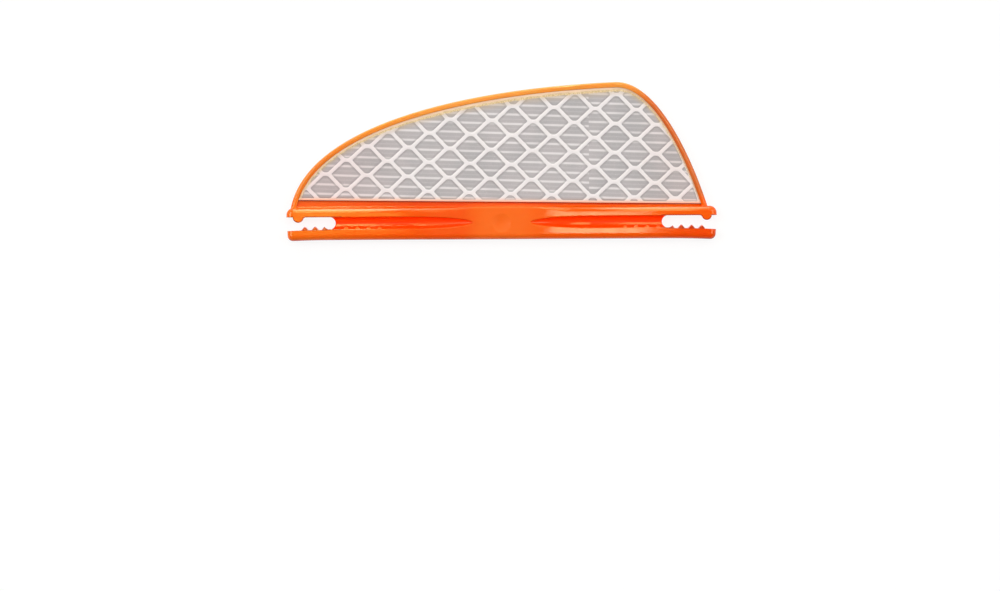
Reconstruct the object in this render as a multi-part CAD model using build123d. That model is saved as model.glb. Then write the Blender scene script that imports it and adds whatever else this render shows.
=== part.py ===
"""Clip-on bicycle spoke reflector: an orange moulded fin on a toothed clip bar, with a white
prismatic film on each face. Millimetres. It lies on its back: X runs along the clip bar, Y from the
bar to the crown of the fin, Z up out of the front face. The origin is the middle of its outline, on
the surface it lies on."""

import os
from collections import namedtuple
from math import atan2, ceil, cos, degrees, radians, sin

from build123d import *

# Clip bar
bar_length = 80.0
bar_height = 6.0
bar_thickness = 3.6
upper_rod_height = 1.75
rod_edge_radius = 0.95
pad_length = 9.6
pad_edge_radius = 0.2
pad_blend = 7.7
pad_mark_radius = 1.75
pad_mark_depth = 0.12

# Grooves between the two rods, on both faces
groove_radius = 1.12
groove_tip = 5.4
groove_taper = 11.0
web_thickness = 1.0

# End slots that take the spokes
slot_height = 2.25
left_slot_depth = 9.15
right_slot_depth = 10.2
left_hook_inset = 2.2
right_hook_inset = 1.85
left_hook_radius = 1.0
right_hook_radius = 0.9
hook_blend = 0.55
nose_radius = 1.3
jaw_flare_radius = 160.0
jaw_setback = 0.25
jaw_relief = 0.1
jaw_corner_radius = 1.0

# Teeth along the lower rod
tooth_base = 2.0
groove_tooth_base = 1.4
tooth_root = 0.3
tooth_rise = 0.7
tooth_tip_radius = 0.36
tooth_setback = 0.25
tooth_lean = 0.2
slot_tooth_pitch = 1.87
left_first_tooth = 0.8
right_first_tooth = 0.6
left_slot_teeth = 3
right_slot_teeth = 4
groove_tooth_pitch = 2.07
groove_tooth_rise = 0.7
left_first_groove_tooth = 3.1
right_first_groove_tooth = 1.8
groove_teeth = 4

# Fin outline, as two cubic curves that meet at the crown
heel_inset = 0.8
tail_inset = 1.7
fin_height = 23.1
crown_from_tail = 17.0
crown_slope = 2.0
lead_foot_angle = 78.0
lead_foot_reach = 16.9
lead_crown_reach = 24.3
trail_crown_reach = 6.7
trail_foot_angle = 72.0
trail_foot_reach = 13.2
fin_root = 1.3

# Fin section
plate_thickness = 1.0
rim_thickness = 2.2
rim_width = 1.0
rim_edge_radius = 0.45
root_radius = 0.3
root_limit = 0.9

# Films
film_clearance = 0.05
film_thickness = 0.4
ledge_left = 1.51
ledge_right = 0.4
film_border = 0.35
lattice_depth = 0.08
lattice_line = 0.68
lattice_bar = 1.08
lattice_run = 2.75
lattice_rise = 2.706
lattice_turn = -1.88
lattice_x = 1.7
lattice_y = 2.44
smallest_cell = 0.3

# Worked out from the sizes above
half_length = bar_length / 2
slot_top = bar_height - upper_rod_height
seat_radius = slot_height / 2
slot_middle = slot_top - seat_radius
lower_rod_height = slot_top - slot_height
jaw_height = lower_rod_height - jaw_relief
rod_start = pad_length / 2 + pad_blend
face_z = bar_thickness / 2
rim_z = rim_thickness / 2
plate_z = plate_thickness / 2
rod_flank = face_z - rod_edge_radius - plate_z
left_seat = half_length - left_slot_depth + seat_radius
right_seat = half_length - right_slot_depth + seat_radius

# The two ends of the bar, both measured as if on the right
End = namedtuple("End", "seat hook_inset hook_radius first_tooth teeth first_groove_tooth")
left_hook = (left_hook_inset, left_hook_radius)
left_teeth = (left_first_tooth, left_slot_teeth, left_first_groove_tooth)
left_end = End(left_seat, *left_hook, *left_teeth)
right_hook = (right_hook_inset, right_hook_radius)
right_teeth = (right_first_tooth, right_slot_teeth, right_first_groove_tooth)
right_end = End(right_seat, *right_hook, *right_teeth)


def nearest_vertex(shape, x, y):
    return shape.vertices().sort_by_distance((x, y, 0))[0]


def bar_section(x, upper_radius):
    """Section of the whole bar at x: a rectangle, its lower edges rounded as on the rods."""
    section = Rectangle(bar_height, bar_thickness, align=(Align.MIN, Align.CENTER))
    section = fillet(section.vertices().group_by(Axis.X)[0], rod_edge_radius)
    section = fillet(section.vertices().group_by(Axis.X)[-1], upper_radius)
    return Plane.YZ.offset(x) * section


def bar_middle():
    """Flat pad in the middle, whose upper edges grow rounder until they meet the rods."""
    pad_end = bar_section(pad_length / 2, pad_edge_radius)
    pad = extrude(pad_end, pad_length, dir=(-1, 0, 0))
    blend = loft([pad_end, bar_section(rod_start, rod_edge_radius)])
    return pad + blend + mirror(blend, about=Plane.YZ)


def jaw_angle(distance):
    """Angle that the flared lower jaw has turned through, in degrees, at a distance from the seat."""
    return degrees(distance / jaw_flare_radius)


def end_outline(end):
    """Outline of one end of the bar: upper jaw with its hook, spoke seat, flared lower jaw."""
    seat = end.seat
    hook = half_length - end.hook_inset
    hook_radius = end.hook_radius
    flare_centre = (seat, -jaw_flare_radius)
    flare = jaw_angle(half_length - jaw_setback - seat)
    toe = jaw_angle(end.first_tooth)
    lower_rod = Polyline((rod_start, bar_height), (rod_start, 0), (seat, 0))
    jaw_under = CenterArc(flare_centre, jaw_flare_radius, 90, -flare)
    jaw_top = CenterArc(flare_centre, jaw_flare_radius + jaw_height, 90 - toe, toe - flare)
    jaw_end = Line(jaw_under @ 1, jaw_top @ 1)
    jaw_step = Line(jaw_top @ 0, (seat, lower_rod_height))
    seat_arc = CenterArc((seat, slot_middle), seat_radius, 90, 180)
    slot_roof = Line((seat, slot_top), (hook - hook_radius, slot_top))
    hook_arc = CenterArc((hook, slot_top), hook_radius, 180, 180)
    nose = Polyline(
        (hook + hook_radius, slot_top),
        (half_length, slot_top),
        (half_length, bar_height),
        (rod_start, bar_height),
    )
    lower_jaw = [*lower_rod.edges(), jaw_under, jaw_end, jaw_top, jaw_step]
    face = make_face([*lower_jaw, seat_arc, slot_roof, hook_arc, *nose.edges()])
    face = fillet(nearest_vertex(face, half_length, bar_height), nose_radius)
    jaw_corner = jaw_under @ 1
    face = fillet(nearest_vertex(face, jaw_corner.X, jaw_corner.Y), jaw_corner_radius)
    return fillet(nearest_vertex(face, hook - hook_radius, slot_top), hook_blend)


def bar_end(end):
    """One end of the bar, its outer edges rounded right round the tips of the jaws."""
    jaws = extrude(end_outline(end), face_z, both=True)
    rows = jaws.edges().filter_by(Axis.X).group_by(Axis.Y)
    return fillet([*rows[0], *rows[-1]], rod_edge_radius)


def groove(seat):
    """Round-bottomed groove that starts in a long rounded tip beside the pad and runs out at the seat."""
    shoulder = groove_tip + groove_taper
    tip = EllipticalCenterArc((shoulder, 0), groove_taper, groove_radius, start_angle=90, arc_size=90)
    sides = Polyline((groove_tip, 0), (seat, 0), (seat, groove_radius), (shoulder, groove_radius))
    half = make_face([tip, *sides.edges()])
    bottom = revolve(half, Axis.X)
    walls = extrude(half + mirror(half, about=Plane.XZ), bar_thickness)
    return Pos(0, slot_middle, web_thickness / 2 + groove_radius) * (bottom + walls)


def tooth(base_width):
    """One tooth that stands up from Y = 0, with its root below: straight flanks and a round tip.
    From the middle plane it leans back towards both faces."""
    tip = Pos(0, tooth_rise - tooth_tip_radius) * Circle(tooth_tip_radius)
    base = Line((-base_width / 2, -tooth_root), (base_width / 2, -tooth_root))
    profile = make_hull([*tip.edges(), base])
    lean = Vector(0, -tooth_lean, face_z - tooth_setback)
    half = extrude(profile, lean.length, dir=lean)
    return half + mirror(half, about=Plane.XY)


def tooth_row(end):
    """Teeth of one slot, on the flared jaw, and the lower ones that carry on along the wall of the groove.
    The first tooth is trimmed to leave the spoke its seat."""
    spoke = Pos(end.seat, slot_middle) * Cylinder(seat_radius, bar_thickness)
    teeth = []
    for number in range(end.teeth):
        turn = jaw_angle(end.first_tooth + number * slot_tooth_pitch)
        place = Pos(end.seat, -jaw_flare_radius) * Rot(0, 0, -turn) * Pos(0, jaw_flare_radius + jaw_height)
        teeth.append(place * tooth(tooth_base) - spoke)
    groove_wall = slot_middle - groove_radius
    for number in range(groove_teeth):
        x = end.seat - end.first_groove_tooth - number * groove_tooth_pitch
        teeth.append(Pos(x, groove_wall + groove_tooth_rise - tooth_rise) * tooth(groove_tooth_base))
    return teeth


def pad_mark():
    """Shallow round dimple in the middle of the front face."""
    ball_radius = (pad_mark_radius**2 + pad_mark_depth**2) / (2 * pad_mark_depth)
    return Pos(0, bar_height / 2, face_z - pad_mark_depth + ball_radius) * Sphere(ball_radius)


def to_left(shapes):
    return [mirror(shape, about=Plane.YZ) for shape in shapes]


def clip_bar():
    """The whole bar along the foot of the fin."""
    ends = [bar_end(right_end), *to_left([bar_end(left_end)])]
    grooves = [groove(right_end.seat), *to_left([groove(left_end.seat)])]
    grooves += [mirror(cut, about=Plane.XY) for cut in grooves]
    teeth = tooth_row(right_end) + to_left(tooth_row(left_end))
    return bar_middle() + ends - grooves + teeth - pad_mark()


def inward(direction):
    """Unit vector to the right of a direction, which is into the fin when going round from heel to tail."""
    return Vector(direction.Y, -direction.X).normalized()


def inset_curve(points, inset):
    """Cubic curve at an inset from the one with these control points: each leg of the polygon moves in."""
    legs = [after - before for before, after in zip(points, points[1:])]
    moved = [points[0] + inward(legs[0]) * inset]
    for point, before, after in zip(points[1:], legs, legs[1:]):
        bisector = (inward(before) + inward(after)).normalized()
        moved.append(point + bisector * (inset / bisector.dot(inward(before))))
    moved.append(points[-1] + inward(legs[-1]) * inset)
    return Bezier(*moved)


def fin_outline(inset=0):
    """Outline of the fin, or the same inset from its curved edge, with straight feet into the upper rod."""
    heel = Vector(heel_inset - half_length, bar_height)
    tail = Vector(half_length - tail_inset, bar_height)
    crown = Vector(tail.X - crown_from_tail, bar_height + fin_height)
    level = Vector(cos(radians(crown_slope)), sin(radians(crown_slope)))
    heel_up = Vector(cos(radians(lead_foot_angle)), sin(radians(lead_foot_angle)))
    tail_up = Vector(-cos(radians(trail_foot_angle)), sin(radians(trail_foot_angle)))
    lead = [heel, heel + heel_up * lead_foot_reach, crown - level * lead_crown_reach, crown]
    trail = [crown, crown + level * trail_crown_reach, tail + tail_up * trail_foot_reach, tail]
    lead_edge = inset_curve(lead, inset)
    trail_edge = inset_curve(trail, inset)
    heel_foot = lead_edge @ 0 - heel_up * (fin_root / heel_up.Y)
    tail_foot = trail_edge @ 1 - tail_up * (fin_root / tail_up.Y)
    feet = Polyline(trail_edge @ 1, tail_foot, heel_foot, lead_edge @ 0)
    return make_face([lead_edge, trail_edge, *feet.edges()])


def fin():
    """Fin plate with a rounded rim that stands up on both faces."""
    outline = fin_outline()
    blank = extrude(outline, rim_z, both=True)
    curved = blank.edges().filter_by(GeomType.BEZIER)
    blank = fillet(curved, rim_edge_radius)
    pocket = extrude(Pos(0, 0, plate_z) * fin_outline(rim_width), rim_thickness)
    return blank - pocket - mirror(pocket, about=Plane.XY)


def moulding():
    """Clip bar and fin as one piece, with a fillet where the plate meets the flank of the upper rod.
    The height of that flank limits the fillet."""
    joined = clip_bar() + fin()
    roots = [joined.edges().sort_by_distance((0, bar_height, z))[0] for z in (plate_z, -plate_z)]
    return fillet(roots, min(root_radius, root_limit * rod_flank))


def film_outline(border=0):
    """Film inside the rim, or what its border leaves. The lower edge is cut askew above the bar."""
    inside = fin_outline(rim_width + film_clearance + border)
    skew = degrees(atan2(ledge_right - ledge_left, bar_length))
    below = Rectangle(2 * bar_length, bar_length, align=(Align.CENTER, Align.MAX))
    ledge = (ledge_left + ledge_right) / 2
    return inside - Pos(0, bar_height + ledge + border) * Rot(0, 0, skew) * below


def lattice_cells(area):
    """Hexagon cells between the lattice lines, clipped to the area."""
    corner = lattice_bar / 2
    tip = corner + lattice_run
    hexagon = Polyline(
        (corner, lattice_rise),
        (tip, 0),
        (corner, -lattice_rise),
        (-corner, -lattice_rise),
        (-tip, 0),
        (-corner, lattice_rise),
        close=True,
    )
    cell = offset(make_face(hexagon.edges()), -lattice_line / 2)
    place = Pos(lattice_x, bar_height + lattice_y) * Rot(0, 0, lattice_turn)
    column_step = lattice_bar + lattice_run
    columns = ceil(half_length / column_step) + 1
    rows = ceil((fin_height + lattice_y) / lattice_rise / 2) + 1
    cells = []
    for column in range(-columns, columns + 1):
        for row in range(-rows, rows + 1):
            middle = Pos(column * column_step, lattice_rise * (2 * row + 1 + column % 2))
            clipped = area & place * middle * cell
            cells += [face for face in clipped.faces() if face.area > smallest_cell]
    return cells


def film(side):
    """Film on the front (side 1) or the back (side -1): lattice lines and border, cells sunk between."""
    sheet = extrude(film_outline(), side * film_thickness)
    floor = Pos(0, 0, side * (film_thickness - lattice_depth))
    cells = lattice_cells(film_outline(film_border))
    hollows = [extrude(floor * cell, side * film_thickness) for cell in cells]
    return Pos(0, 0, side * plate_z) * (sheet - hollows)


frame = moulding()
box = frame.bounding_box()
home = Pos(-box.center().X, -box.center().Y, -box.min.Z)
pieces = {"fin_frame": frame, "front_film": film(1), "back_film": film(-1)}
os.makedirs("parts", exist_ok=True)
for name, piece in pieces.items():
    export_step(home * piece, f"parts/{name}.step")
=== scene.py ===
"""Looks of a clip-on bicycle spoke reflector: an orange moulding with prismatic film on both faces.

The CAD moulding is shown as it is, in a glossy plastic. Each CAD film is replaced by a finer sheet of the
same outline and cells, with rounded cell corners, soft shoulders and slightly domed cells.
"""
import math

import bmesh
import bpy
import numpy as np
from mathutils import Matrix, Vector
from mathutils.geometry import delaunay_2d_cdt


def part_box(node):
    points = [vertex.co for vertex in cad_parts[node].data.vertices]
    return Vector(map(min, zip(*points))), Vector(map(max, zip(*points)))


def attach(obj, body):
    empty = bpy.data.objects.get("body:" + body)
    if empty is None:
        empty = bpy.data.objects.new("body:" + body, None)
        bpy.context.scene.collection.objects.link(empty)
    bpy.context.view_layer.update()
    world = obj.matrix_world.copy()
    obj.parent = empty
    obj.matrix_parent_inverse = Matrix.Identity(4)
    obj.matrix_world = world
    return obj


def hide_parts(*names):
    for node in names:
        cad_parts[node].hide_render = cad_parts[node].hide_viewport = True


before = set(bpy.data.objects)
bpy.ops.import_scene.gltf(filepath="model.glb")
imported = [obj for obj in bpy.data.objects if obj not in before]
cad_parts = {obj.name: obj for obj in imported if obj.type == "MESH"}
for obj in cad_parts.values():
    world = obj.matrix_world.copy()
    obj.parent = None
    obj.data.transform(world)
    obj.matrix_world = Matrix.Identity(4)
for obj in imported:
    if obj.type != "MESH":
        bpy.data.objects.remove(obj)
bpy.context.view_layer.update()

mm = 0.001


def colour(red, green, blue):
    """A shader colour from display values of 0 to 255, by the sRGB curve."""
    levels = [value / 255 for value in (red, green, blue)]
    linear = [v / 12.92 if v <= 0.04045 else ((v + 0.055) / 1.055) ** 2.4 for v in levels]
    return (*linear, 1.0)


# Photograph: a straight look down on the reflector, which lies above the middle of the picture
image_width_px = 1000
pixel_size = 0.18605 * mm
view_centre = Vector((-0.37 * mm, -24.93 * mm))
view_roll = math.radians(-0.33)
camera_height = 1100 * mm
sensor_width_mm = 36.0

# Levels of the part, read from the frame. A rise is a height above or below the middle plane.
film_low, film_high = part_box("front_film")
part_low, part_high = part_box("fin_frame")
mid_height = (part_low.z + part_high.z) / 2
bar_rise = part_high.z - mid_height
film_rise = film_high.z - mid_height
plate_rise = film_low.z - mid_height
fin_foot = film_low.y

# Places on the moulding that the boxes don't give
rim_rise = 1.1 * mm
groove_middle = -11.33 * mm
groove_half = 1.12 * mm

# Film sheet: rounding of the cells, shoulders of the seal lattice and doming of the cells
cell_corner_reach = 0.30 * mm
corner_share = 0.45
corner_steps = 5
true_corner = math.radians(12)
straight_turn = 1e-4
# Each shoulder point is a distance out from the cell's edge and a share of the cell's depth
shoulder_profile = (
    (0.07 * mm, 0.0),
    (0.035 * mm, 0.1),
    (0.0, 0.5),
    (-0.035 * mm, 0.9),
    (-0.07 * mm, 1.0),
    (-0.11 * mm, 1.0),
)
dome_rings = (0.7, 0.4)
dome_reach = 0.93
dome_height = 0.025 * mm
sheet_edge_bevel = 0.03 * mm
film_clearance = 0.045 * mm
crease_angle = math.radians(40)

# Tolerances for reading the meshes
same_level = 0.002 * mm
same_point = 1e-9
level_digits = 6
place_digits = 7
flat_normal = 0.99
sharpest_mitre = 0.5

# Film print: fine prism rows that shift at a seam
row_pitch = 1.75 * mm
row_width = 0.40 * mm
row_core, row_fade = 0.25, 0.75
row_turn = math.radians(2.0)
row_start = 0.023 * mm
half_row_fade = 0.5
half_row_strength = 0.18
seam_x = 16.3 * mm
seam_shift = 0.815 * mm

# Noise: size of its features and detail, and the range that most of its values lie in
flow_noise = (14 * mm, 3)
grain_noise = (0.35 * mm, 4)
wave_noise = (2.5 * mm, 2)
patch_noise = (5 * mm, 3)
speckle_noise = (0.22 * mm, 2)
fray_noise = (0.9 * mm, 2)
prism_noise = (0.12 * mm, 1)
noise_range = (0.3, 0.7)

# Moulding: where its looks change, from the value that starts a change to the one that completes it
rim_flank_light_span = (rim_rise - 0.01 * mm, rim_rise - 0.2 * mm)
rim_climb_span = (fin_foot + 5 * mm, film_high.y - 3 * mm)
rim_steep_shade_span = (23 * mm, 29 * mm)
rim_foot_span = (fin_foot, fin_foot + 2.5 * mm)
# Bar: painted light at the left end, painted shade mid-left and on the lower right rod, a painted sheen on
# the pad
left_end_light_span = (-22 * mm, -36 * mm)
left_middle_shade_spans = (-26 * mm, -16 * mm), (-3 * mm, -7 * mm)
pad_sheen_spans = (-8 * mm, -2 * mm), (9.5 * mm, 2.5 * mm)
satin_spans = (-18 * mm, -12 * mm), (10.5 * mm, 4.5 * mm)
lower_rod_span = (groove_middle + 0.3 * mm, groove_middle - 0.3 * mm)
right_tail_shade_span = (22 * mm, 37 * mm)
low_edge_shade_span = (part_low.y + 0.45 * mm, part_low.y)
groove_side_span = (groove_half + 0.05 * mm, groove_half - 0.05 * mm)
groove_depth_span = (bar_rise - 0.1 * mm, bar_rise - 0.9 * mm)
slot_side_span = (groove_half + 0.35 * mm, groove_half + 0.15 * mm)
slot_reach_span = (29.5 * mm, 29.9 * mm)
facing_span = (0.8, 0.95)
edge_bend_span = (0.995, 0.93)
plate_level_span = (0.02 * mm, 0.005 * mm)
foot_shade_span = (0.55 * mm, 0.0)

# Moulding: colours and how strongly they come in
# Rim: the flank colours are lighter by a painted highlight, the steep-side colour is painted shade
rim_top_low, rim_top_high = colour(234, 120, 38), colour(246, 152, 64)
rim_flank_lit_low, rim_flank_lit_high = colour(254, 150, 50), colour(255, 182, 95)
rim_steep_shade_colour = colour(216, 103, 44)
bar_colour, bar_flow_colour = colour(255, 96, 4), colour(255, 84, 0)
bar_flow_strength = 0.3
# Painted light: a lighter colour at the left end of the bar
left_end_painted_light = colour(255, 114, 20)
left_end_light_strength = 0.8
# Painted shade: a darker colour left of the pad
left_middle_painted_shade = colour(250, 84, 0)
# Painted sheen: a lighter colour on the pad
pad_painted_sheen = colour(255, 106, 22)
# Painted shade: a darker colour on the lower right rod
right_tail_painted_shade = colour(244, 74, 0)
# Painted shade: a redder colour deep in the grooves
groove_shade_colour = colour(255, 72, 3)
# Painted shade: darker along the bar's low edge
low_edge_shade_colour = colour(200, 32, 5)
# Painted shade: a dark colour along the edges of the end slots
slot_edge_shade_colour = colour(150, 36, 10)
slot_edge_shade_strength = 0.8
# Painted shade: the plate's low ledge is darkened and reddened
plate_shade_tint = colour(243, 222, 250)
foot_shade_colour = colour(178, 46, 10)

# Moulding: surface
edge_softness = 0.2 * mm
edge_samples = 6
slot_edge_width = 0.45 * mm
slot_edge_samples = 8
gloss_roughness = (0.04, 0.055)
satin_roughness = 0.21
wave_share, grain_share = 0.6, 0.15
moulding_bump = {"Strength": 0.06, "Distance": 0.02 * mm}
plastic = {
    "IOR": 1.55,
    "Specular Tint": (1.0, 0.9, 0.5, 1.0),
    "Subsurface Weight": 0.3,
    "Subsurface Radius": (1.0, 0.25, 0.05),
    "Subsurface Scale": 0.9 * mm,
    # Colour of the painted glow in the grooves
    "Emission Color": (1.0, 0.0, 0.0, 1.0),
}
# Painted glow: red emission only deep in the grooves
groove_painted_glow = 0.15

# Film: where its looks change, in the same way
lattice_span = (film_rise - 0.045 * mm, film_rise - 0.015 * mm)
row_patch_span = (0.25, 0.6)
row_patch_strength = (0.7, 1.0)
speckle_span = (0.55, 0.75)
speckle_strength = 0.3
cell_edge_start, cell_edge_full = 0.008 * mm, 0.001 * mm
cell_edge_shade_strength = 0.5
film_left_span = (-14 * mm, -34 * mm)
film_right_span = (22 * mm, 34 * mm)
foot_tint_span = (1.0 * mm, 0.0)
foot_line_span = (0.45 * mm, 0.05 * mm)
foot_line_strength = 0.85

# Film: band along the rim, its width and ragged edge. A depth of 1 is the width of the band.
band_width = (0.30 * mm, 0.90 * mm)
band_steep_span = (18 * mm, 28 * mm)
band_steep_loss = 0.45
ragged_speckle, ragged_fray, ragged_middle = 0.3 * mm, 0.4 * mm, 0.35 * mm
warm_span, warm_strength = (2.4, 1.0), 0.4
yellow_span, yellow_strength = (1.1, 0.8), 0.9
cream_span, cream_strength = (0.65, 0.35), 0.95
yellow_speckle_span = (0.35, 0.65)

# Film: colours
cell_dark, cell_light = colour(176, 172, 175), colour(186, 179, 182)
speckle_colour = colour(222, 218, 220)
row_colour = colour(226, 221, 223)
# Painted shade where the cell floors meet the seal lattice
cell_edge_shade_colour = colour(160, 155, 157)
lattice_colour = colour(239, 233, 235)
film_left_tint = colour(255, 244, 243)
film_right_tint = colour(255, 249, 247)
foot_tint = colour(255, 218, 198)
foot_line_colour = colour(252, 180, 152)
warm_colour = colour(202, 172, 136)
yellow_dark, yellow_light = colour(212, 180, 122), colour(248, 222, 174)
cream_colour, cream_steep_colour = colour(255, 224, 194), colour(224, 188, 158)

# Film: surface
film_bump = {"Strength": 0.15, "Distance": 0.02 * mm}
film_roughness = (0.28, 0.42)
film_surface = {"IOR": 1.45, "Coat Weight": 0.3, "Coat Roughness": 0.12}

# Studio
white = (1.0, 1.0, 1.0, 1.0)
floor_size = 6.0
floor_gap = 0.02 * mm
floor_grey = (0.8, 0.8, 0.8, 1.0)
floor_shadow_grey = (0.14, 0.14, 0.14, 1.0)
floor_glow = 0.88
sky_overhead = 0.20
sky_horizon = 0.65
horizon_band = (0.25, 0.60)
sky_front = 0.55
front_band = (-0.8, 0.4)

# Lights, in metres: name, place, size, radiance, aim and tint
neutral = (1.0, 1.0, 1.0)
lights = (
    ("key_wall", (-0.1, 0.55, 0.17), (0.9, 0.3), 0.5, (0, 0, 0), neutral),
    ("left_strip", (-0.0625, 1.113, 0.45), (0.045, 0.92), 9.0, (-0.0625, 0, 0), neutral),
    ("left_shoulder", (-0.048, 0.285, 0.48), (0.026, 0.43), 6.0, (-0.048, 0, 0), (1.0, 0.9, 0.45)),
    ("right_strip", (0.0605, 1.138, 0.381), (0.043, 0.757), 7.5, (0.0605, 0, 0), neutral),
    ("right_shoulder", (0.044, 0.285, 0.48), (0.022, 0.43), 5.0, (0.044, 0, 0), (1.0, 1.0, 0.6)),
    ("left_top", (-0.44, 0.14, 0.75), (0.5, 0.5), 4.5, (0, 0, 0), neutral),
    ("right_top", (0.44, 0.14, 0.75), (0.5, 0.5), 3.5, (0, 0, 0), neutral),
    ("left_glint", (-0.062, 0.008, 1.3), (0.048, 0.01), 5.0, (-0.062, 0.008, 0), (1.0, 0.7, 0.2)),
    ("right_glint", (0.0365, 0.0034, 1.3), (0.0465, 0.0134), 10.0, (0.0365, 0.0034, 0), neutral),
    ("pad_glint", (0.0, 0.003, 1.3), (0.034, 0.018), 0.5, (0.0, 0.003, 0), neutral),
)


# Shader graph helpers
def new_material(name):
    """A material with an empty node tree, its tree and its output node."""
    material = bpy.data.materials.new(name)
    material.use_nodes = True
    material.node_tree.nodes.clear()
    output = material.node_tree.nodes.new("ShaderNodeOutputMaterial")
    return material, material.node_tree, output


def add(tree, kind, inputs=None, **settings):
    """Adds a node. An input is a value to set or a socket to link."""
    node = tree.nodes.new(kind)
    for name, value in settings.items():
        setattr(node, name, value)
    for name, value in (inputs or {}).items():
        if isinstance(value, bpy.types.NodeSocket):
            tree.links.new(value, node.inputs[name])
        else:
            node.inputs[name].default_value = value
    return node


def calc(tree, operation, *values):
    """A Math node's result."""
    return add(tree, "ShaderNodeMath", dict(enumerate(values)), operation=operation).outputs[0]


def distance(tree, value, middle):
    """How far a value is from a middle, on either side."""
    return calc(tree, "ABSOLUTE", calc(tree, "SUBTRACT", value, middle))


def ramp(tree, value, start, end, low=0.0, high=1.0):
    """A smooth step of a value from low at start to high at end."""
    sockets = {"Value": value, "From Min": start, "From Max": end, "To Min": low, "To Max": high}
    return add(tree, "ShaderNodeMapRange", sockets, interpolation_type="SMOOTHSTEP").outputs["Result"]


def within(tree, value, first_span, last_span):
    """1 between two smooth steps of a value, 0 outside them."""
    return calc(tree, "MULTIPLY", ramp(tree, value, *first_span), ramp(tree, value, *last_span))


def mixed(tree, factor, first, second, blend="MIX"):
    """A first colour that is mixed with a second, or multiplied by it, as far as the factor says."""
    node = add(tree, "ShaderNodeMix", data_type="RGBA", blend_type=blend)
    for socket, value in (("Factor_Float", factor), ("A_Color", first), ("B_Color", second)):
        target = next(s for s in node.inputs if s.identifier == socket)
        if isinstance(value, bpy.types.NodeSocket):
            tree.links.new(value, target)
        else:
            target.default_value = value
    return next(s for s in node.outputs if s.identifier == "Result_Color")


def noise(tree, place, size, detail):
    """Even noise from 0 to 1 with features of about one size."""
    sockets = {"Vector": place, "Scale": 1 / size, "Detail": detail}
    return add(tree, "ShaderNodeTexNoise", sockets).outputs[0]


def object_place(tree):
    """Object coordinates in metres, whole and split in x, y and z."""
    place = add(tree, "ShaderNodeTexCoord").outputs["Object"]
    split = add(tree, "ShaderNodeSeparateXYZ", {"Vector": place})
    return place, *split.outputs[:3]


# Materials
def rim_colours(tree, x, y, rise):
    """Colour of the rim, yellower towards the crown: painted highlight on its flanks, painted shade on the
    steep side.
    """
    climb = ramp(tree, y, *rim_climb_span)
    top = mixed(tree, climb, rim_top_low, rim_top_high)
    side = mixed(tree, climb, rim_flank_lit_low, rim_flank_lit_high)
    # Painted highlight: lighter, yellower colours on the flanks
    rim = mixed(tree, ramp(tree, rise, *rim_flank_light_span), top, side)
    # Painted shade on the steep side
    return mixed(tree, ramp(tree, x, *rim_steep_shade_span), rim, rim_steep_shade_colour)


def bar_colours(tree, place, x, y):
    """Colour of the clip bar along its length: painted light at the left end and pad, painted shade
    mid-left and lower right.
    """
    flow = ramp(tree, noise(tree, place, *flow_noise), *noise_range, 0.0, bar_flow_strength)
    bar = mixed(tree, flow, bar_colour, bar_flow_colour)
    # Painted light at the left end
    bar = mixed(tree, ramp(tree, x, *left_end_light_span, 0.0, left_end_light_strength), bar, left_end_painted_light)
    # Painted shade on the lower right rod
    tail_shade = calc(tree, "MULTIPLY", ramp(tree, y, *lower_rod_span), ramp(tree, x, *right_tail_shade_span))
    bar = mixed(tree, tail_shade, bar, right_tail_painted_shade)
    # Painted shade left of the pad, then a painted sheen on the pad
    bar = mixed(tree, within(tree, x, *left_middle_shade_spans), bar, left_middle_painted_shade)
    return mixed(tree, within(tree, x, *pad_sheen_spans), bar, pad_painted_sheen)


def slot_edge_shade(tree, x, from_groove, facing_out):
    """How strongly painted shade darkens a point on the front or back near an edge of an end slot."""
    wide = add(tree, "ShaderNodeBevel", {"Radius": slot_edge_width}, samples=slot_edge_samples)
    normals = {0: wide.outputs["Normal"], 1: add(tree, "ShaderNodeNewGeometry").outputs["Normal"]}
    bend = add(tree, "ShaderNodeVectorMath", normals, operation="DOT_PRODUCT").outputs["Value"]
    along = ramp(tree, calc(tree, "ABSOLUTE", x), *slot_reach_span)
    in_slot = calc(tree, "MULTIPLY", ramp(tree, from_groove, *slot_side_span), along)
    in_slot = calc(tree, "MULTIPLY", in_slot, facing_out)
    return calc(tree, "MULTIPLY", in_slot, ramp(tree, bend, *edge_bend_span, 0.0, slot_edge_shade_strength))


def foot_shade(tree, x, y):
    """Shade on the plate along the foot of the film."""
    start, end = by_length(film_outline("front_film"))[-1]
    slope = (end.y - start.y) / (end.x - start.x)
    film_foot = calc(tree, "ADD", calc(tree, "MULTIPLY", x, slope), start.y - slope * start.x)
    return ramp(tree, calc(tree, "SUBTRACT", film_foot, y), *foot_shade_span)


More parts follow.
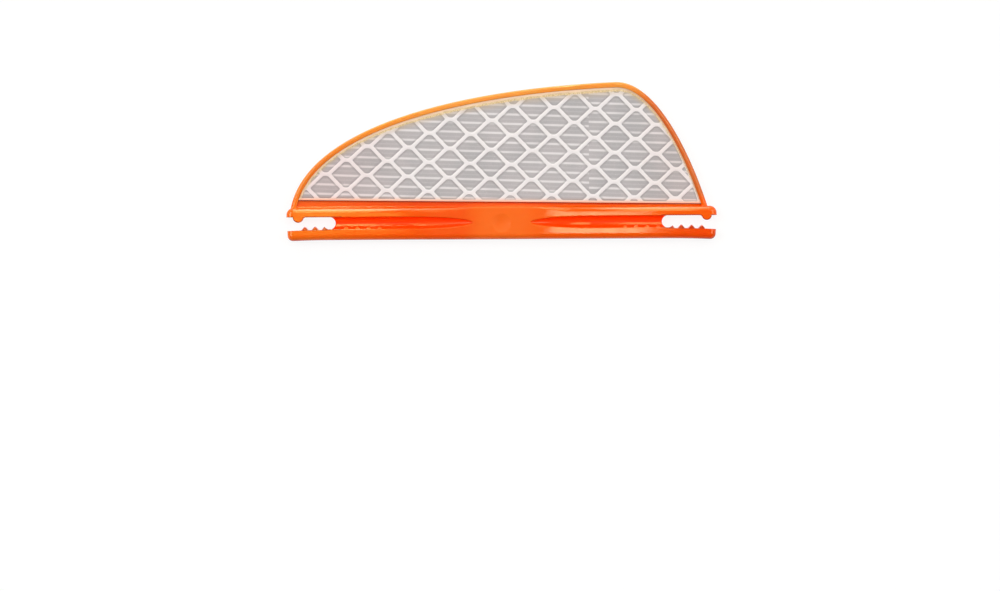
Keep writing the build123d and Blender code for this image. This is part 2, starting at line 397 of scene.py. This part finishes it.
def orange_plastic():
    """Glossy translucent moulding, satin on plate and pad; painted shade reddens the grooves and darkens
    the slots.
    """
    material, tree, output = new_material("moulded_orange")
    place, x, y, z = object_place(tree)
    rise = distance(tree, z, mid_height)
    from_groove = distance(tree, y, groove_middle)
    bar = bar_colours(tree, place, x, y)
    base = mixed(tree, ramp(tree, y, *rim_foot_span), bar, rim_colours(tree, x, y, rise))
    in_groove = ramp(tree, from_groove, *groove_side_span)
    # Painted shade and a painted glow deep in the grooves
    groove_shade_and_glow = calc(tree, "MULTIPLY", in_groove, ramp(tree, rise, *groove_depth_span))
    base = mixed(tree, groove_shade_and_glow, base, groove_shade_colour)
    # Painted shade along the low edge
    base = mixed(tree, ramp(tree, y, *low_edge_shade_span), base, low_edge_shade_colour)
    normal = add(tree, "ShaderNodeTexCoord").outputs["Normal"]
    normal_z = add(tree, "ShaderNodeSeparateXYZ", {"Vector": normal}).outputs["Z"]
    facing_out = ramp(tree, calc(tree, "ABSOLUTE", normal_z), *facing_span)
    # Painted shade along the slot edges
    base = mixed(tree, slot_edge_shade(tree, x, from_groove, facing_out), base, slot_edge_shade_colour)
    at_plate = ramp(tree, distance(tree, rise, plate_rise), *plate_level_span)
    on_plate = calc(tree, "MULTIPLY", at_plate, facing_out)
    # Painted shade on the plate
    base = mixed(tree, on_plate, base, plate_shade_tint, "MULTIPLY")
    shade = calc(tree, "MULTIPLY", foot_shade(tree, x, y), on_plate)
    base = mixed(tree, shade, base, foot_shade_colour)
    waviness = noise(tree, place, *wave_noise)
    satin = calc(tree, "MAXIMUM", on_plate, within(tree, x, *satin_spans))
    satin = calc(tree, "MULTIPLY", satin, satin_roughness)
    rough = calc(tree, "ADD", ramp(tree, waviness, *noise_range, *gloss_roughness), satin)
    waves = calc(tree, "MULTIPLY", waviness, wave_share)
    grain = calc(tree, "MULTIPLY", noise(tree, place, *grain_noise), grain_share)
    soft = add(tree, "ShaderNodeBevel", {"Radius": edge_softness}, samples=edge_samples)
    relief = {"Height": calc(tree, "ADD", waves, grain), "Normal": soft.outputs["Normal"]}
    bump = add(tree, "ShaderNodeBump", {**moulding_bump, **relief})
    shader = add(tree, "ShaderNodeBsdfPrincipled", {
        **plastic,
        "Base Color": base,
        "Roughness": rough,
        # Painted glow in the grooves
        "Emission Strength": calc(tree, "MULTIPLY", groove_shade_and_glow, groove_painted_glow),
        "Normal": bump.outputs["Normal"],
    })
    tree.links.new(shader.outputs["BSDF"], output.inputs["Surface"])
    return material


def prism_rows(tree, x, y, patches):
    """Fine light rows across the cells, each with a weaker one halfway to the next."""
    aslant = calc(tree, "MULTIPLY", x, math.sin(row_turn))
    across = calc(tree, "ADD", aslant, calc(tree, "MULTIPLY", y, math.cos(row_turn)))
    shift = calc(tree, "MULTIPLY", calc(tree, "GREATER_THAN", x, seam_x), seam_shift)
    across = calc(tree, "SUBTRACT", calc(tree, "SUBTRACT", across, row_start), shift)
    from_row = calc(tree, "PINGPONG", across, row_pitch / 2)
    from_half_row = calc(tree, "PINGPONG", calc(tree, "ADD", across, row_pitch / 2), row_pitch / 2)
    row = ramp(tree, from_row, row_width * row_fade, row_width * row_core)
    row = calc(tree, "MULTIPLY", row, ramp(tree, patches, *row_patch_span, *row_patch_strength))
    half_row = ramp(tree, from_half_row, row_width * half_row_fade, 0.0)
    return calc(tree, "MAXIMUM", row, calc(tree, "MULTIPLY", half_row, half_row_strength))


def cell_colours(tree, x, y, rise, patches, speckle):
    """Colour of the prism cells: patchy and speckled, with light rows and a shaded edge."""
    cells = mixed(tree, ramp(tree, patches, *noise_range), cell_dark, cell_light)
    cells = mixed(tree, ramp(tree, speckle, *speckle_span, 0.0, speckle_strength), cells, speckle_colour)
    cells = mixed(tree, prism_rows(tree, x, y, patches), cells, row_colour)
    floor = abs(floor_level(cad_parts["front_film"].data, film_low.z, film_high.z) - mid_height)
    edge_span = (floor + cell_edge_start, floor + cell_edge_full)
    # Painted shade along the cell edges
    return mixed(tree, ramp(tree, rise, *edge_span, 0.0, cell_edge_shade_strength), cells, cell_edge_shade_colour)


def rim_band(tree, face, place, x, y, speckle):
    """The film's colour with a band along the rim: warm, then speckled yellow, cream at the very edge."""
    to_rim = add(tree, "ShaderNodeAttribute", attribute_name="rim_distance").outputs["Fac"]
    frayed = calc(tree, "MULTIPLY", noise(tree, place, *fray_noise), ragged_fray)
    ragged = calc(tree, "ADD", calc(tree, "MULTIPLY", speckle, ragged_speckle), frayed)
    ragged = calc(tree, "ADD", to_rim, calc(tree, "SUBTRACT", ragged, ragged_middle))
    steep_side = ramp(tree, x, *band_steep_span)
    width = ramp(tree, y, fin_foot, film_high.y, *band_width)
    kept = calc(tree, "SUBTRACT", 1.0, calc(tree, "MULTIPLY", steep_side, band_steep_loss))
    depth = calc(tree, "DIVIDE", ragged, calc(tree, "MULTIPLY", width, kept))
    face = mixed(tree, ramp(tree, depth, *warm_span, 0.0, warm_strength), face, warm_colour)
    yellowed = mixed(tree, ramp(tree, speckle, *yellow_speckle_span), yellow_dark, yellow_light)
    face = mixed(tree, ramp(tree, depth, *yellow_span, 0.0, yellow_strength), face, yellowed)
    cream = mixed(tree, steep_side, cream_colour, cream_steep_colour)
    return mixed(tree, ramp(tree, depth, *cream_span, 0.0, cream_strength), face, cream)


def prismatic_film():
    """Silver-white prism cells in a white seal lattice, warmer at both ends, the foot and the rim."""
    material, tree, output = new_material("prismatic_film")
    place, x, y, z = object_place(tree)
    rise = distance(tree, z, mid_height)
    to_foot = add(tree, "ShaderNodeAttribute", attribute_name="foot_distance").outputs["Fac"]
    patches = noise(tree, place, *patch_noise)
    speckle = noise(tree, place, *speckle_noise)
    cells = cell_colours(tree, x, y, rise, patches, speckle)
    face = mixed(tree, ramp(tree, rise, *lattice_span), cells, lattice_colour)
    face = mixed(tree, ramp(tree, x, *film_left_span), face, film_left_tint, "MULTIPLY")
    face = mixed(tree, ramp(tree, x, *film_right_span), face, film_right_tint, "MULTIPLY")
    face = mixed(tree, ramp(tree, to_foot, *foot_tint_span), face, foot_tint, "MULTIPLY")
    foot_line = ramp(tree, to_foot, *foot_line_span, 0.0, foot_line_strength)
    face = mixed(tree, foot_line, face, foot_line_colour)
    prisms = noise(tree, place, *prism_noise)
    bump = add(tree, "ShaderNodeBump", {**film_bump, "Height": prisms})
    shader = add(tree, "ShaderNodeBsdfPrincipled", {
        **film_surface,
        "Base Color": rim_band(tree, face, place, x, y, speckle),
        "Roughness": ramp(tree, patches, *noise_range, *film_roughness),
        "Normal": bump.outputs["Normal"],
    })
    tree.links.new(shader.outputs["BSDF"], output.inputs["Surface"])
    return material


def seen_directly(tree):
    """1 for what the camera sees directly, by a mirror or through glass, 0 for light on the object."""
    path = add(tree, "ShaderNodeLightPath").outputs
    either = calc(tree, "MAXIMUM", path["Is Camera Ray"], path["Is Glossy Ray"])
    return calc(tree, "MAXIMUM", either, path["Is Transmission Ray"])


def floor_white():
    """White floor that still takes the object's shadow."""
    material, tree, output = new_material("floor_white")
    lit = add(tree, "ShaderNodeBsdfDiffuse", {"Color": floor_grey})
    shaded = add(tree, "ShaderNodeBsdfDiffuse", {"Color": floor_shadow_grey})
    glow = add(tree, "ShaderNodeEmission", {"Color": white, "Strength": floor_glow})
    seen = add(tree, "ShaderNodeAddShader")
    tree.links.new(shaded.outputs[0], seen.inputs[0])
    tree.links.new(glow.outputs[0], seen.inputs[1])
    surface = add(tree, "ShaderNodeMixShader", {"Fac": seen_directly(tree)})
    tree.links.new(lit.outputs[0], surface.inputs[1])
    tree.links.new(seen.outputs[0], surface.inputs[2])
    tree.links.new(surface.outputs[0], output.inputs["Surface"])
    return material


# Film sheets
def flat_loops(mesh, level):
    """Outlines, counter-clockwise in x and y, of the mesh's faces that lie flat at one height."""
    follows = {}
    for face in mesh.polygons:
        points = [mesh.vertices[i].co for i in face.vertices]
        if all(abs(p.z - level) < same_level for p in points):
            keys = [(round(p.x, place_digits), round(p.y, place_digits)) for p in points]
            for start, end in zip(keys, keys[1:] + keys[:1]):
                if follows.get(end) and start in follows[end]:
                    follows[end].remove(start)
                else:
                    follows.setdefault(start, []).append(end)
    loops = []
    while any(follows.values()):
        start = next(key for key, ends in follows.items() if ends)
        loop = [start]
        while follows[loop[-1]]:
            loop.append(follows[loop[-1]].pop())
        loops.append([Vector(p) for p in loop[:-1]])
    return [loop if loop_area(loop) > 0 else loop[::-1] for loop in loops]


def loop_area(loop):
    """Area inside a loop, positive where it runs counter-clockwise."""
    return sum(a.cross(b) for a, b in zip(loop, loop[1:] + loop[:1])) / 2


def neighbours(loop):
    """Each point of a loop with the one before and the one after."""
    return zip(loop[-1:] + loop[:-1], loop, loop[1:] + loop[:1])


def rounded(loop):
    """The loop with its true corners rounded."""
    points = []
    for before, corner, after in neighbours(loop):
        arrive, leave = corner - before, after - corner
        if arrive.angle(leave) < true_corner:
            points.append(corner)
            continue
        reach = min(cell_corner_reach, corner_share * arrive.length, corner_share * leave.length)
        first = corner - arrive.normalized() * reach
        last = corner + leave.normalized() * reach
        for step in range(corner_steps + 1):
            t = step / corner_steps
            points.append(first * (1 - t) ** 2 + corner * 2 * t * (1 - t) + last * t ** 2)
    return points


def moved_out(loop, reach):
    """The loop moved outwards by a distance, or inwards if it is negative."""
    points = []
    for before, point, after in neighbours(loop):
        arrive, leave = (point - before).normalized(), (after - point).normalized()
        outward = Vector((arrive.y + leave.y, -arrive.x - leave.x))
        points.append(point + outward * reach / max(1 + arrive.dot(leave), sharpest_mitre))
    return points


def straightened(loop):
    """The loop without points that lie on a straight run or on another point."""
    kept = [p for before, p, _ in neighbours(loop) if (p - before).length > same_level]
    turns = [(p - before).angle(after - p) for before, p, after in neighbours(kept)]
    return [p for p, turn in zip(kept, turns) if turn > straight_turn]


def film_sheet(node, name, material):
    """A finer sheet in place of a CAD film: rounded cells with soft shoulders, slightly domed."""
    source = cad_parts[node].data
    low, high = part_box(node)
    faces_up = (low.z + high.z) / 2 > mid_height
    top, seat = (high.z, low.z) if faces_up else (low.z, high.z)
    sink = floor_level(source, low.z, high.z) - top
    outline = sheet_outline(node)
    cells = [rounded(straightened(loop)) for loop in flat_loops(source, top + sink)]
    sheet = bmesh.new()

    def ring(loop, height):
        return [sheet.verts.new((p.x, p.y, height)) for p in loop]

    def strip(outer, inner):
        for k in range(len(outer)):
            sheet.faces.new((outer[k - 1], outer[k], inner[k], inner[k - 1]))

    bevel = sheet_edge_bevel if faces_up else -sheet_edge_bevel
    base = ring(outline, seat)
    wall = ring(outline, top - bevel)
    rim = ring(moved_out(outline, -sheet_edge_bevel), top)
    sheet.faces.new(base[::-1])
    strip(base, wall)
    strip(wall, rim)
    lips = []
    for cell in cells:
        rings = [ring(moved_out(cell, out), top + sink * share) for out, share in shoulder_profile]
        middle = sum(cell, Vector((0, 0))) / len(cell)
        for share in dome_rings:
            raised = top + sink - math.copysign(dome_height, sink) * (1 - share ** 2)
            rings.append(ring([middle + (p - middle) * share * dome_reach for p in cell], raised))
        for outer, inner in zip(rings, rings[1:]):
            strip(outer, inner)
        sheet.faces.new(rings[-1])
        lips.append(rings[0])
    fill_between(sheet, rim, lips)
    bmesh.ops.recalc_face_normals(sheet, faces=sheet.faces)
    mesh = bpy.data.meshes.new(name)
    sheet.to_mesh(mesh)
    sheet.free()
    store_edge_distances(mesh, outline)
    mesh.shade_smooth()
    mesh.set_sharp_from_angle(angle=crease_angle)
    mesh.materials.append(material)
    piece = bpy.data.objects.new(name, mesh)
    bpy.context.scene.collection.objects.link(piece)
    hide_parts(node)
    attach(piece, "root")


def floor_level(mesh, low, high):
    """Height of the cell floors: the level between the film's two faces where most flat faces lie."""
    flat = [face for face in mesh.polygons if abs(face.normal.z) > flat_normal]
    levels = [round(mesh.vertices[face.vertices[0]].co.z, level_digits) for face in flat]
    inner = [z for z in levels if low + same_level < z < high - same_level]
    return max(set(inner), key=inner.count)


def fill_between(sheet, rim, lips):
    """Fills the lattice: all that lies inside the rim and outside the lips of the cells."""
    loops = [rim, *lips]
    corners = [vertex for loop in loops for vertex in loop]
    number = {vertex: k for k, vertex in enumerate(corners)}
    outlines = [[number[vertex] for vertex in loop] for loop in loops]
    points = [vertex.co.xy for vertex in corners]
    _, _, triangles, came_from, _, inside = delaunay_2d_cdt(points, [], outlines, 0, same_point)
    for triangle, areas in zip(triangles, inside):
        if areas == [0]:
            sheet.faces.new([corners[came_from[k][0]] for k in triangle])


def film_outline(node):
    """Outline of a film, from its face that lies on the plate."""
    low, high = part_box(node)
    seat = min(low.z, high.z, key=lambda z: abs(z - mid_height))
    return max(flat_loops(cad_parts[node].data, seat), key=loop_area)


def sheet_outline(node):
    """Outline of the finer sheet: the film's, but right up to the rim. Its foot stays where it is."""
    outline = moved_out(film_outline(node), film_clearance)
    for end in by_length(outline)[-1]:
        end.y += film_clearance
    return outline


def by_length(outline):
    """The straight runs of an outline, each as its two ends, the longest one last."""
    runs = zip(outline, outline[1:] + outline[:1])
    return sorted(runs, key=lambda run: (run[1] - run[0]).length)


def store_edge_distances(mesh, outline):
    """Gives each point its distances to the sheet's curved edge and to the straight run at its foot."""
    places = np.empty(len(mesh.vertices) * 3)
    mesh.vertices.foreach_get("co", places)
    places = places.reshape(-1, 3)[:, :2]
    *curve, foot = by_length(outline)
    for name, runs in (("rim_distance", curve), ("foot_distance", [foot])):
        nearest = np.full(len(places), np.inf)
        for start, end in runs:
            start, run = np.array(start), np.array(end - start)
            share = np.clip((places - start) @ run / (run @ run), 0, 1)
            nearest = np.minimum(nearest, np.linalg.norm(places - start - share[:, None] * run, axis=1))
        attribute = mesh.attributes.new(name, "FLOAT", "POINT")
        attribute.data.foreach_set("value", nearest.astype(np.float32))


# Stage
def build_floor():
    """A wide plane just under the part."""
    half = floor_size / 2
    mesh = bpy.data.meshes.new("floor")
    plan = ((-half, -half), (half, -half), (half, half), (-half, half))
    mesh.from_pydata([(x, y, -floor_gap) for x, y in plan], [], [(0, 1, 2, 3)])
    mesh.materials.append(floor_white())
    floor = bpy.data.objects.new("floor", mesh)
    bpy.context.scene.collection.objects.link(floor)


def build_world():
    """Soft light from all round: brightest near the horizon, dimmer overhead and from the front."""
    world = bpy.data.worlds.new("studio")
    world.use_nodes = True
    tree = world.node_tree
    tree.nodes.clear()
    direction = add(tree, "ShaderNodeTexCoord").outputs["Generated"]
    split = add(tree, "ShaderNodeSeparateXYZ", {"Vector": direction}).outputs
    strength = ramp(tree, split["Z"], *horizon_band, sky_horizon, sky_overhead)
    strength = calc(tree, "MULTIPLY", strength, ramp(tree, split["Y"], *front_band, sky_front, 1.0))
    background = add(tree, "ShaderNodeBackground", {"Color": white, "Strength": strength})
    output = add(tree, "ShaderNodeOutputWorld")
    tree.links.new(background.outputs[0], output.inputs["Surface"])
    bpy.context.scene.world = world


def softbox(name, place, size, radiance, aim, tint):
    """A rectangular soft light at a place, turned to the aim. Its radiance sets its power."""
    data = bpy.data.lights.new(name, "AREA")
    data.color = tint
    data.shape = "RECTANGLE"
    data.size, data.size_y = size
    data.energy = radiance * math.pi * size[0] * size[1]
    lamp = bpy.data.objects.new(name, data)
    lamp.location = place
    lamp.rotation_euler = (Vector(aim) - Vector(place)).to_track_quat("-Z", "Y").to_euler()
    bpy.context.scene.collection.objects.link(lamp)


def build_camera():
    """Looks straight down, with the photograph's scale at mid height of the part."""
    data = bpy.data.cameras.new("camera")
    data.sensor_fit = "HORIZONTAL"
    data.sensor_width = sensor_width_mm
    data.lens = sensor_width_mm * (camera_height - mid_height) / (image_width_px * pixel_size)
    camera = bpy.data.objects.new("camera", data)
    camera.location = (view_centre.x, view_centre.y, camera_height)
    camera.rotation_euler = (0, 0, view_roll)
    bpy.context.scene.collection.objects.link(camera)
    bpy.context.scene.camera = camera


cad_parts["fin_frame"].data.materials[0] = orange_plastic()
film = prismatic_film()
film_sheet("front_film", "front_prism_sheet", film)
film_sheet("back_film", "back_prism_sheet", film)

build_floor()
build_world()
for light in lights:
    softbox(*light)
build_camera()
bpy.context.scene.view_settings.view_transform = "Standard"
